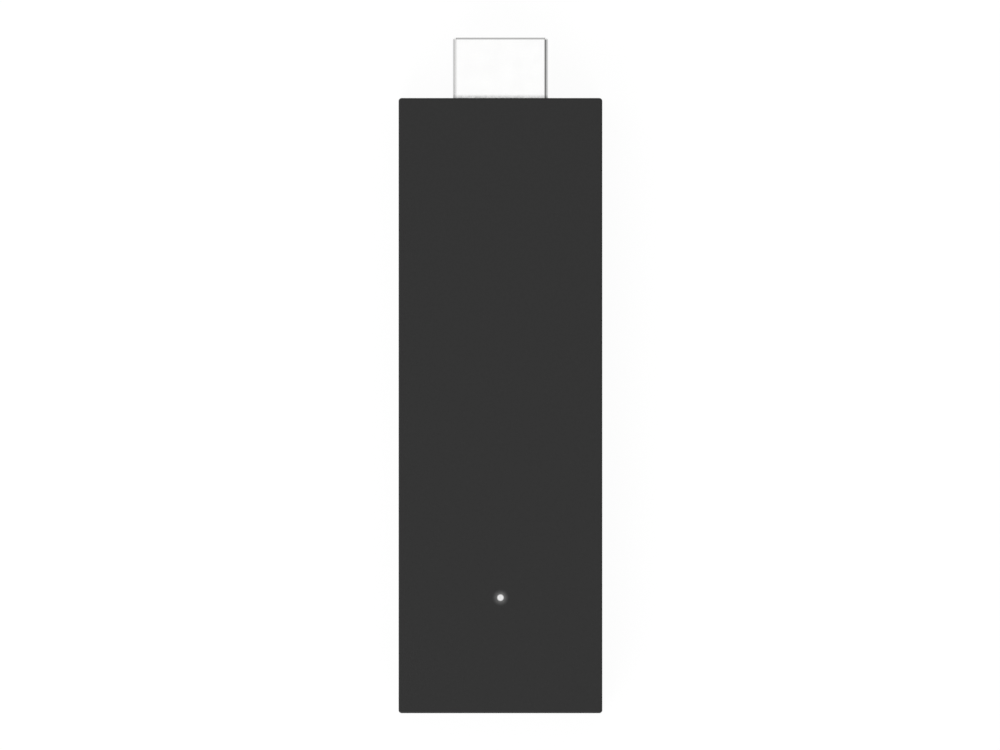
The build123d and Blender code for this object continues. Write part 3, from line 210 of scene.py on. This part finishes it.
class Surface:
    """A material whose nodes are read in the frame's own coordinates, in metres."""

    def __init__(self, name, colour, roughness, metallic=0.0, specular=0.5):
        self.material = bpy.data.materials.new(name)
        self.material.use_nodes = True
        self.tree = self.material.node_tree
        self.shader = self.tree.nodes["Principled BSDF"]
        self.put("Base Color", (*colour, 1.0))
        self.put("Roughness", roughness)
        self.put("Metallic", metallic)
        self.put("Specular IOR Level", specular)
        self.place = self.add("ShaderNodeTexCoord").outputs["Object"]

    def put(self, name, value):
        """Gives one of the shader's inputs a socket or a plain value."""
        feed(self.tree, value, self.shader.inputs[name])

    def add(self, kind, **settings):
        node = self.tree.nodes.new(kind)
        for name, value in settings.items():
            setattr(node, name, value)
        return node

    def link(self, output, entry):
        self.tree.links.new(output, entry)

    def math(self, operation, *values):
        return arithmetic(self.tree, operation, *values)

    def between(self, noise, low, high):
        """Noise brought into the span from low to high."""
        return map_range(self.tree, noise, NOISE_SPAN, (low, high))

    def stretched(self, scale):
        """The frame's coordinates, scaled along each axis."""
        mapping = self.add("ShaderNodeMapping")
        mapping.inputs["Scale"].default_value = scale
        self.link(self.place, mapping.inputs["Vector"])
        return mapping.outputs["Vector"]

    def noise(self, size, detail=2.0, stretch=(1, 1, 1)):
        """Noise whose cells measure about size along the axes where stretch is 1."""
        noise = self.add("ShaderNodeTexNoise")
        noise.inputs["Scale"].default_value = 1.0
        noise.inputs["Detail"].default_value = detail
        self.link(self.stretched([share / size for share in stretch]), noise.inputs["Vector"])
        return noise.outputs["Fac"]

    def cells(self, size, distance="EUCLIDEAN"):
        """Cells of about a size in plan: Color is random for each, Distance is from its middle in sizes."""
        cells = self.add("ShaderNodeTexVoronoi", voronoi_dimensions="2D", distance=distance)
        cells.inputs["Scale"].default_value = 1.0
        self.link(self.stretched([1 / size] * 3), cells.inputs["Vector"])
        return cells.outputs

    def coordinate(self, axis):
        """One of the frame's coordinates."""
        split = self.add("ShaderNodeSeparateXYZ")
        self.link(self.place, split.inputs["Vector"])
        return split.outputs[axis]

    def stripes(self, axis, pitch, share):
        """1 on stripes that repeat at a pitch along an axis and cover a share of it, 0 between them."""
        turns = self.math("DIVIDE", self.coordinate(axis), pitch)
        return self.math("LESS_THAN", self.math("PINGPONG", turns, 0.5), share / 2)

    def light_levels(self, distances, levels):
        """Level by the distance from the status light, with both given as (from, to) pairs."""
        offset = self.add("ShaderNodeVectorMath", operation="DISTANCE")
        self.link(self.place, offset.inputs[0])
        offset.inputs[1].default_value = light_place()
        return map_range(self.tree, offset.outputs["Value"], distances, levels)

    def plane_levels(self, axis, plane, distances, levels):
        """Level by the distance from a plane across an axis, with both given as (from, to) pairs."""
        distance = self.math("ABSOLUTE", self.math("SUBTRACT", self.coordinate(axis), plane))
        return map_range(self.tree, distance, distances, levels)

    def vary_roughness(self, noise, low, high):
        """Roughness that noise varies between two levels."""
        self.put("Roughness", self.between(noise, low, high))

    def vary_colour(self, value, low, high):
        """Base colour between two colours, by noise or by a value that is 0 or 1."""
        ramp = self.add("ShaderNodeValToRGB")
        for stop, position, colour in zip(ramp.color_ramp.elements, NOISE_SPAN, (low, high)):
            stop.position = position
            stop.color = (*colour, 1.0)
        self.link(value, ramp.inputs["Fac"])
        self.put("Base Color", ramp.outputs["Color"])

    def colour(self):
        """Socket that the base colour comes from."""
        return self.shader.inputs["Base Color"].links[0].from_socket

    def paint_shade(self, value):
        """Multiplies the base colour by a value, which paints shade on it."""
        scaled = self.add("ShaderNodeVectorMath", operation="SCALE")
        self.link(self.colour(), scaled.inputs[0])
        self.link(value, scaled.inputs["Scale"])
        self.put("Base Color", scaled.outputs["Vector"])

    def cover(self, share, colour):
        """Lays a colour over the base colour where share is 1."""
        mix = self.add("ShaderNodeMix", data_type="RGBA")
        sockets = {socket.identifier: socket for socket in (*mix.inputs, *mix.outputs)}
        self.link(share, sockets["Factor_Float"])
        self.link(self.colour(), sockets["A_Color"])
        sockets["B_Color"].default_value = (*colour, 1.0)
        self.put("Base Color", sockets["Result_Color"])

    def glow(self, strength):
        """White light of the surface's own, with a strength that is a socket or a plain number."""
        self.put("Emission Color", (*grey(1.0), 1.0))
        self.put("Emission Strength", strength)

    def relief(self, *layers):
        """Bumps stacked from (value, height) pairs, with heights in metres."""
        normal = None
        for value, height in layers:
            bump = self.add("ShaderNodeBump")
            bump.inputs["Distance"].default_value = height
            self.link(value, bump.inputs["Height"])
            if normal:
                self.link(normal, bump.inputs["Normal"])
            normal = bump.outputs["Normal"]
        self.put("Normal", normal)


# Materials


def case_plastic(name, roughness=CASE_ROUGHNESS):
    """Charcoal moulded plastic with a fine spark-eroded grain."""
    made = Surface(name, grey(CASE_GREY), roughness, specular=CASE_SPECULAR)
    made.vary_colour(
        made.noise(CASE_GREY_PATCH),
        grey(CASE_GREY - CASE_GREY_SPREAD),
        grey(CASE_GREY + CASE_GREY_SPREAD),
    )
    made.vary_roughness(
        made.noise(CASE_ROUGHNESS_PATCH, detail=4.0),
        roughness - CASE_ROUGHNESS_SPREAD,
        roughness + CASE_ROUGHNESS_SPREAD,
    )
    grain = made.noise(GRAIN_SIZE, detail=3.0)
    made.relief((grain, GRAIN_HEIGHT), (made.noise(FINE_GRAIN_SIZE), FINE_GRAIN_HEIGHT))
    return made


def front_plastic():
    """The case's plastic, lit from behind in a small halo round the status light."""
    made = case_plastic("case_plastic_front")
    fade = made.light_levels((LIGHT_TIP_RADIUS, LIGHT_HALO_RADIUS), (LIGHT_HALO_LEVEL ** 0.5, 0.0))
    falling = made.math("MULTIPLY", fade, fade)
    uneven = made.between(made.noise(HALO_PATCH), *HALO_UNEVENNESS)
    made.glow(made.math("MULTIPLY", falling, uneven))
    return made


def light_place():
    """Middle of the light pipe's tip, in the front face."""
    low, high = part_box("light_pipe")
    return Vector(((low[0] + high[0]) / 2, (low[1] + high[1]) / 2, high[2]))


def clear_pipe():
    """Clear resin, lit from below and fainter at its rim."""
    made = Surface("clear_pipe", grey(0.11), 0.3)
    made.vary_colour(made.noise(0.4 * MM), grey(0.1), grey(0.12))
    made.vary_roughness(made.noise(0.2 * MM), 0.25, 0.4)
    level = made.light_levels((LIGHT_CORE_RADIUS, LIGHT_TIP_RADIUS), (LIGHT_CORE_LEVEL, LIGHT_RIM_LEVEL))
    uneven = made.between(made.noise(CORE_PATCH), *CORE_UNEVENNESS)
    made.glow(made.math("MULTIPLY", level, uneven))
    made.relief((made.noise(0.15 * MM), 0.005 * MM))
    return made


def rolled_metal(name, colour, rough_low, rough_high, along="y"):
    """Bare or plated metal with faint rolling lines along one axis and soft smudges."""
    stretch = [LINE_SHARE if axis == along else 1 for axis in "xyz"]
    made = Surface(name, colour, rough_low, metallic=1.0)
    lines = made.noise(LINE_WIDTH, stretch=stretch)
    made.vary_roughness(lines, rough_low, rough_high)
    smudge = [SMUDGE_LEVEL * part for part in colour]
    made.vary_colour(made.noise(SMUDGE_SIZE), smudge, colour)
    made.relief((lines, LINE_HEIGHT))
    return made


def plug_sheet():
    """Bright plating on the video plug, darkened with painted shade in the corner at its foot and down its
    sides.
    """
    made = rolled_metal("plug_steel", (0.9, 0.899, 0.897), 0.12, 0.17)
    nose_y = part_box("front_cover")[1][1]
    # Painted shade: the plating is darker, unevenly, within a short reach of the case's nose, and darker
    # down the plug's sides
    near = made.plane_levels("Y", nose_y, (0.0, PLUG_FOOT_SHADE_REACH), (1.0, 0.0))
    uneven = made.between(made.noise(PLUG_FOOT_SHADE_PATCH, detail=3.0), *PLUG_FOOT_SHADE_UNEVENNESS)
    near = made.math("MULTIPLY", near, uneven)
    foot = map_range(made.tree, near, (0.0, 1.0), (1.0, PLUG_FOOT_SHADE_LEVEL))
    side_shade = made.plane_levels("X", 0.0, (PLUG_SIDE_X - PLUG_SIDE_SHADE_FADE, PLUG_SIDE_X), (1.0, PLUG_SIDE_SHADE_LEVEL))
    made.paint_shade(made.math("MULTIPLY", foot, side_shade))
    return made


def gold():
    """Thin gold plating on the contacts."""
    made = Surface("gold_contact", (0.93, 0.68, 0.3), 0.25, metallic=1.0)
    made.vary_colour(made.noise(0.5 * MM), (0.86, 0.6, 0.25), (0.95, 0.7, 0.33))
    made.vary_roughness(made.noise(0.3 * MM), 0.2, 0.34)
    made.relief((made.noise(0.06 * MM), 0.001 * MM))
    return made


def moulded(name, dark, light, roughness, grain=MOULDED_GRAIN_SIZE):
    """Plain moulded resin, ceramic or rubber with a fine grain."""
    made = Surface(name, dark, roughness)
    made.vary_colour(made.noise(MOULDED_COLOUR_PATCH, detail=3.0), dark, light)
    smoother, rougher = (roughness + step for step in MOULDED_ROUGHNESS_SPREAD)
    made.vary_roughness(made.noise(MOULDED_ROUGHNESS_PATCH), smoother, rougher)
    made.relief((made.noise(grain, detail=3.0), MOULDED_GRAIN_HEIGHT))
    return made


def board_laminate():
    """Green solder mask over copper: bundles of parallel tracks in patches, and tinned holes."""
    bare, covered, tin = (0.01, 0.065, 0.03), (0.018, 0.105, 0.046), (0.4, 0.38, 0.32)
    made = Surface("board_laminate", bare, 0.35)
    patch = made.cells(TRACK_PATCH, distance="CHEBYCHEV")["Color"]
    lengthwise = made.stripes("X", TRACK_PITCH, TRACK_SHARE)
    crosswise = made.stripes("Y", TRACK_PITCH, TRACK_SHARE)
    lengthwise = made.math("MULTIPLY", lengthwise, made.math("LESS_THAN", patch, LENGTHWISE_UNDER))
    crosswise = made.math("MULTIPLY", crosswise, made.math("GREATER_THAN", patch, CROSSWISE_OVER))
    tracks = made.math("MAXIMUM", lengthwise, crosswise)
    made.vary_colour(tracks, bare, covered)
    reach = made.cells(HOLE_SPACING)["Distance"]
    made.cover(made.math("LESS_THAN", reach, HOLE_RADIUS / HOLE_SPACING), tin)
    made.vary_roughness(made.noise(1.5 * MM), 0.3, 0.42)
    made.relief((made.noise(0.2 * MM), 0.004 * MM), (tracks, TRACK_HEIGHT))
    return made


def led_resin():
    """White resin of the lit chip."""
    made = moulded("led_resin", (0.85, 0.85, 0.8), (0.9, 0.9, 0.86), 0.3)
    made.glow(1.0)
    return made


def dress():
    """Gives each CAD node the material of its slot."""
    surfaces = {
        "case_plastic": case_plastic("case_plastic"),
        "plug_steel": plug_sheet(),
        "gold_contact": gold(),
        "black_insulator": moulded("black_insulator", grey(0.012), grey(0.016), 0.45),
        "board_laminate": board_laminate(),
        "chip_resin": moulded("chip_resin", (0.018, 0.018, 0.019), (0.024, 0.024, 0.025), 0.6),
        "shield_steel": rolled_metal("shield_steel", (0.72, 0.71, 0.68), 0.3, 0.42, along="x"),
        "thermal_pad": moulded("thermal_pad", (0.3, 0.41, 0.52), (0.36, 0.48, 0.6), 0.85, 0.3 * MM),
        "cooling_aluminium": rolled_metal("cooling_aluminium", (0.8, 0.8, 0.81), 0.32, 0.45),
        "inductor_ferrite": moulded("inductor_ferrite", (0.05, 0.05, 0.053), (0.075, 0.075, 0.08), 0.75),
        "capacitor_ceramic": moulded("capacitor_ceramic", (0.4, 0.27, 0.15), (0.46, 0.32, 0.19), 0.5),
        "resistor_film": moulded("resistor_film", (0.03, 0.03, 0.034), (0.045, 0.045, 0.05), 0.4),
        "crystal_can": rolled_metal("crystal_can", (0.74, 0.72, 0.66), 0.25, 0.35, along="x"),
        "screw_steel": rolled_metal("screw_steel", (0.62, 0.62, 0.63), 0.3, 0.42, along="z"),
        "aerial_steel": rolled_metal("aerial_steel", (0.78, 0.76, 0.71), 0.25, 0.38),
        "led_resin": led_resin(),
        "clear_pipe": clear_pipe(),
        "black_foam": moulded("black_foam", grey(0.01), grey(0.022), 0.95, 0.4 * MM),
        "plunger_plastic": moulded("plunger_plastic", (0.75, 0.75, 0.73), (0.8, 0.8, 0.78), 0.45),
        "dome_steel": rolled_metal("dome_steel", (0.78, 0.77, 0.74), 0.2, 0.3),
    }
    for part in frame["record"]["subparts"]:
        give(part["node"], surfaces[part["material_slot"]])
    give("front_cover", front_plastic())
    give("pairing_button", case_plastic("case_plastic_button", BUTTON_ROUGHNESS))


def give(node, surface):
    """Makes a surface the only material of a CAD node."""
    mesh = frame["nodes"][node].data
    mesh.materials.clear()
    mesh.materials.append(surface.material)


def giving_dome():
    """Copy of the switch's dome, attached to the housing in place of the hidden CAD dome."""
    dome = bpy.data.objects.new("giving_dome", frame["nodes"]["switch_dome"].data.copy())
    bpy.context.collection.objects.link(dome)
    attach(dome, "housing")
    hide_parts("switch_dome")
    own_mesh(dome)


# Studio


def soft_floor():
    """Large white floor that keeps a faint shadow, and is clear from below and to what lies on it."""
    bpy.ops.mesh.primitive_plane_add(size=FLOOR_SIZE, location=(0, 0, cad_box[0][2] - FLOOR_GAP))
    floor = bpy.context.object
    floor.name = "floor"
    material = bpy.data.materials.new("floor")
    material.use_nodes = True
    tree = material.node_tree
    tree.nodes.clear()
    glow = tree.nodes.new("ShaderNodeEmission")
    glow.inputs["Strength"].default_value = FLOOR_GLOW
    shown = tree.nodes.new("ShaderNodeAddShader")
    tree.links.new(diffuse(tree, FLOOR_TINT), shown.inputs[0])
    tree.links.new(glow.outputs["Emission"], shown.inputs[1])
    above = mixed(tree, seen_directly(tree), diffuse(tree, FLOOR_WHITE), shown.outputs["Shader"])
    clear = tree.nodes.new("ShaderNodeBsdfTransparent").outputs["BSDF"]
    output = tree.nodes.new("ShaderNodeOutputMaterial")
    tree.links.new(mixed(tree, seen_through(tree), above, clear), output.inputs["Surface"])
    floor.data.materials.append(material)


def diffuse(tree, level):
    """Matt grey shader."""
    matt = tree.nodes.new("ShaderNodeBsdfDiffuse")
    matt.inputs["Color"].default_value = (*grey(level), 1.0)
    return matt.outputs["BSDF"]


def mixed(tree, share, first, second):
    """Mix of two shaders, with the second one's share."""
    mix = tree.nodes.new("ShaderNodeMixShader")
    for socket, entry in zip((share, first, second), mix.inputs):
        tree.links.new(socket, entry)
    return mix.outputs["Shader"]


def seen_directly(tree):
    """1 for rays from the camera and for what gloss and glass show, 0 for light."""
    path = tree.nodes.new("ShaderNodeLightPath").outputs
    shown = arithmetic(tree, "MAXIMUM", path["Is Glossy Ray"], path["Is Transmission Ray"])
    return arithmetic(tree, "MAXIMUM", shown, path["Is Camera Ray"])


def seen_through(tree):
    """1 for rays from below and for those that start right above the floor, 0 for the rest."""
    facing = tree.nodes.new("ShaderNodeNewGeometry").outputs["Backfacing"]
    reach = tree.nodes.new("ShaderNodeLightPath").outputs["Ray Length"]
    return arithmetic(tree, "MAXIMUM", facing, arithmetic(tree, "LESS_THAN", reach, CONTACT_RAY))


def studio_world():
    """Pale tent: white overhead and at the horizon, greyer between, with a dark screen on the right."""
    world = bpy.data.worlds.new("studio")
    bpy.context.scene.world = world
    world.use_nodes = True
    tree = world.node_tree
    light = tree.nodes["Background"]
    direction = tree.nodes.new("ShaderNodeTexCoord")
    axes = tree.nodes.new("ShaderNodeSeparateXYZ")
    tree.links.new(direction.outputs["Generated"], axes.inputs["Vector"])
    tent = tree.nodes.new("ShaderNodeValToRGB")
    tree.links.new(axes.outputs["Z"], tent.inputs["Fac"])
    stops = tent.color_ramp.elements
    for height, _ in SURROUNDINGS[1:-1]:
        stops.new(height)
    for stop, (height, level) in zip(stops, SURROUNDINGS):
        stop.position = height
        stop.color = (*grey(level), 1.0)
    tree.links.new(tent.outputs["Color"], light.inputs["Color"])
    edge = map_range(tree, axes.outputs["X"], SCREEN_EDGE, (0.0, 1.0), "SMOOTHSTEP")
    foot = map_range(tree, axes.outputs["Z"], SCREEN_FOOT, (0.0, 1.0), "SMOOTHSTEP")
    screen = arithmetic(tree, "MULTIPLY", edge, foot)
    tree.links.new(map_range(tree, screen, (0.0, 1.0), (1.0, SCREEN_LEVEL)), light.inputs["Strength"])


def softbox(name, place, power):
    """Square lamp that faces the stick."""
    lamp = bpy.data.lights.new(name, "AREA")
    lamp.size = LAMP_SIZE
    lamp.energy = power
    holder = bpy.data.objects.new(name, lamp)
    holder.location = place
    holder.rotation_euler = (-Vector(place)).to_track_quat("-Z", "Y").to_euler()
    bpy.context.collection.objects.link(holder)


def camera():
    """Long lens straight above the front face, with the plug at the top of the picture."""
    lens = bpy.data.cameras.new("camera")
    lens.sensor_width = SENSOR_WIDTH
    lens.lens = SENSOR_WIDTH * CAMERA_DISTANCE / PICTURE_WIDTH
    holder = bpy.data.objects.new("camera", lens)
    holder.location = (*CAMERA_OFFSET, cad_box[1][2] + CAMERA_DISTANCE)
    bpy.context.collection.objects.link(holder)
    bpy.context.scene.camera = holder


bpy.context.scene.view_settings.view_transform = "Standard"
dress()
giving_dome()
soft_floor()
studio_world()
softbox("key", KEY_PLACE, KEY_POWER)
softbox("fill", FILL_PLACE, FILL_POWER)
camera()
